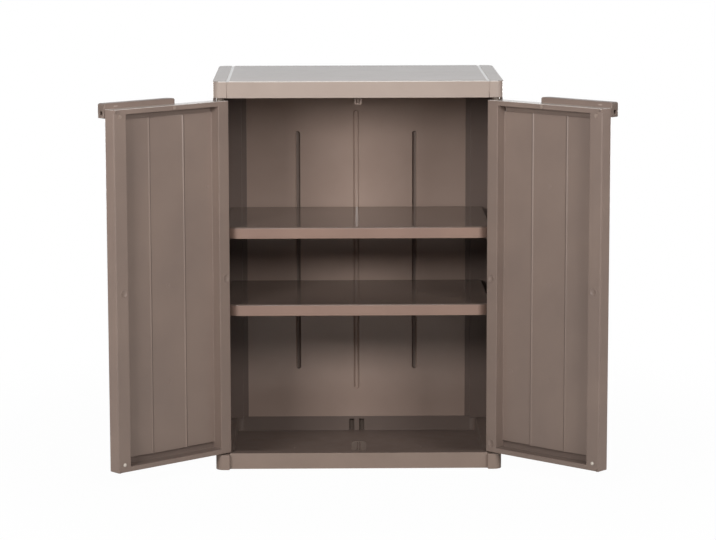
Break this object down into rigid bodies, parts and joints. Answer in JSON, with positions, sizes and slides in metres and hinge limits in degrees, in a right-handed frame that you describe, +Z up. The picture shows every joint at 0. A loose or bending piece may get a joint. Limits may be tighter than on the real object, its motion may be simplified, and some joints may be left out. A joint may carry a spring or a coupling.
{
  "type": "garden storage cabinet",
  "caption": "Low resin garden cabinet with hinged plank-look doors, two ribbed shelves on brackets, a sunken tray base, ledge handles and padlock eyes.",
  "frame": {"origin": "middle of the cabinet's footprint, on the ground", "axes": "+X right as seen from the front, +Y to the back, +Z up"},
  "size_m": [1.1251, 0.6333, 0.88],
  "materials": {
    "taupe_resin": "fine-grained injection-moulded polypropylene",
    "pale_resin": "smooth injection-moulded acetal",
    "lacquered_screws": "steel screws lacquered in the resin's taupe"
  },
  "bodies": {
    "cabinet": {"base_tray": "taupe_resin", "top_panel": "taupe_resin", "back_panel": "taupe_resin", "left_side_panel": "taupe_resin", "right_side_panel": "taupe_resin", "upper_shelf": "taupe_resin", "lower_shelf": "taupe_resin", "upper_left_brackets": "taupe_resin", "upper_right_brackets": "taupe_resin", "lower_left_brackets": "taupe_resin", "lower_right_brackets": "taupe_resin", "top_catch": "taupe_resin", "base_catch": "taupe_resin"},
    "left_door_leaf": {"left_door": "taupe_resin", "left_handle": "taupe_resin", "left_handle_screws": "lacquered_screws", "left_door_plug": "pale_resin", "left_upper_pin": "pale_resin", "left_lower_pin": "pale_resin"},
    "right_door_leaf": {"right_door": "taupe_resin", "right_handle": "taupe_resin", "right_handle_screws": "lacquered_screws", "right_door_plug": "pale_resin", "right_upper_pin": "pale_resin", "right_lower_pin": "pale_resin"}
  },
  "joints": [
    {"name": "left_door_hinge", "type": "hinge", "parent": "cabinet", "child": "left_door_leaf", "pos_m": [-0.307, -0.197, 0.44], "axis": [0, 0, 1], "range_deg": [-36.1, 138.9]},
    {"name": "right_door_hinge", "type": "hinge", "parent": "cabinet", "child": "right_door_leaf", "pos_m": [0.307, -0.197, 0.44], "axis": [0, 0, 1], "range_deg": [-137.4, 37.6]}
  ]
}
